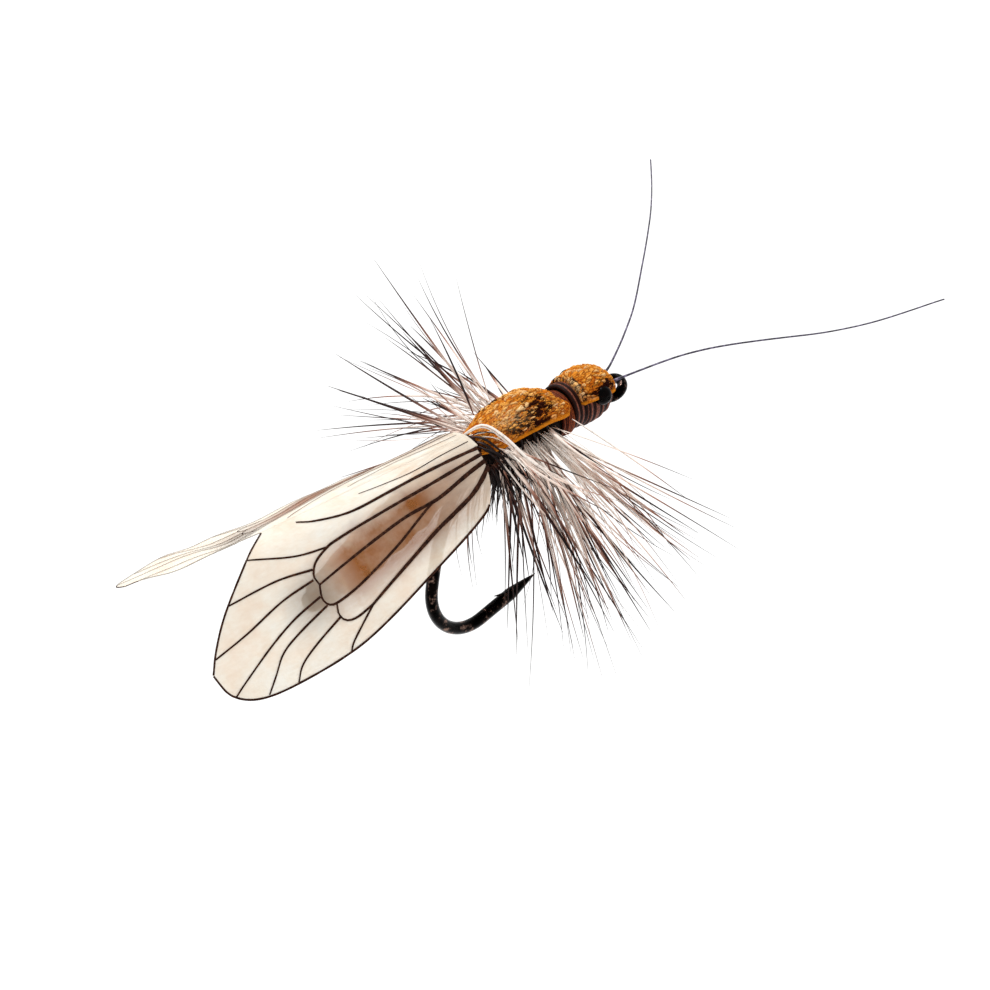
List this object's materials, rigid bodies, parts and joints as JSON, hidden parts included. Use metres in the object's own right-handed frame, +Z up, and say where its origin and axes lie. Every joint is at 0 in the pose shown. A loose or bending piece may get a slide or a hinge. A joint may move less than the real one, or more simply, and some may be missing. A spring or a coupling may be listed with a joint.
{
  "type": "dry fly",
  "caption": "Adult caddis dry fly: up-eye hook, foam-covered head and thorax, palmered hackle, folded film wings, segmented abdomen, bead eyes and two antennae.",
  "frame": {"origin": "centre of the hook's ring eye", "axes": "+X forward along the shank, from the bend to the ring eye; +Y to the fly's left; +Z up"},
  "size_m": [0.035, 0.0182, 0.0117],
  "materials": {
    "hook_wire": "gloss",
    "dark_thread": "satin",
    "dark_dubbing": "matte",
    "cement": "gloss",
    "cover_foam": "matte",
    "mono_black": "gloss",
    "bead_black": "polished",
    "antenna_mono": "satin",
    "hackle": "satin",
    "wing_film": "satin",
    "mono_clear": "gloss",
    "abdomen_foam": "matte",
    "rib_thread": "satin"
  },
  "bodies": {
    "dressed_hook": {"hook": "hook_wire", "shank_thread": "dark_thread", "head_core": "dark_dubbing", "head_thread": "dark_thread", "whip_finish": "dark_thread", "head_cement": "cement", "head_cover": "cover_foam", "eye_bar": "mono_black", "right_eye": "bead_black", "left_eye": "bead_black", "waist_thread": "dark_thread", "thorax_core": "dark_dubbing", "thorax_cover": "cover_foam", "hackle_quill": "hackle", "right_hackle": "hackle", "left_hackle": "hackle", "trimmed_hackle": "hackle", "stray_hackle": "hackle", "wing_root": "wing_film", "wing_thread": "dark_thread", "abdomen_stub": "mono_clear", "tail_thread": "dark_thread"},
    "wing_roof": {"wing_ridge": "wing_film"},
    "right_leaf": {"right_wing": "wing_film"},
    "left_leaf": {"left_wing": "wing_film"},
    "abdomen": {"abdomen_core": "mono_clear", "abdomen_foam": "abdomen_foam", "abdomen_ribbing": "rib_thread", "abdomen_tip": "dark_thread"},
    "right_feeler": {"right_antenna": "antenna_mono"},
    "left_feeler": {"left_antenna": "antenna_mono"}
  },
  "joints": [
    {"name": "wing_lift", "type": "hinge", "parent": "dressed_hook", "child": "wing_roof", "pos_m": [-0.0079, 0, 0.0006], "axis": [0, 1, 0], "range_deg": [-2, 12], "stiffness_Nm_per_rad": 0.0002},
    {"name": "right_wing_flex", "type": "hinge", "parent": "wing_roof", "child": "right_leaf", "pos_m": [-0.00759, -0.0009, 0.00031], "axis": [-0.9996, 0, -0.0279], "range_deg": [-8, 20], "stiffness_Nm_per_rad": 0.0002},
    {"name": "left_wing_flex", "type": "hinge", "parent": "wing_roof", "child": "left_leaf", "pos_m": [-0.00759, 0.0009, 0.00031], "axis": [0.9996, 0, 0.0279], "range_deg": [-8, 20], "stiffness_Nm_per_rad": 0.0002},
    {"name": "abdomen_flex", "type": "hinge", "parent": "dressed_hook", "child": "abdomen", "pos_m": [-0.00792, 0, -0.00015], "axis": [0, 1, 0], "range_deg": [-4, 10], "stiffness_Nm_per_rad": 0.0005},
    {"name": "right_antenna_flex", "type": "hinge", "parent": "dressed_hook", "child": "right_feeler", "pos_m": [-0.00033, -0.0003, 0.00046], "axis": [0, 0, -1], "range_deg": [-20, 20], "stiffness_Nm_per_rad": 0.0001},
    {"name": "left_antenna_flex", "type": "hinge", "parent": "dressed_hook", "child": "left_feeler", "pos_m": [-0.00033, 0.0003, 0.00046], "axis": [0, 0, 1], "range_deg": [-20, 20], "stiffness_Nm_per_rad": 0.0001}
  ]
}
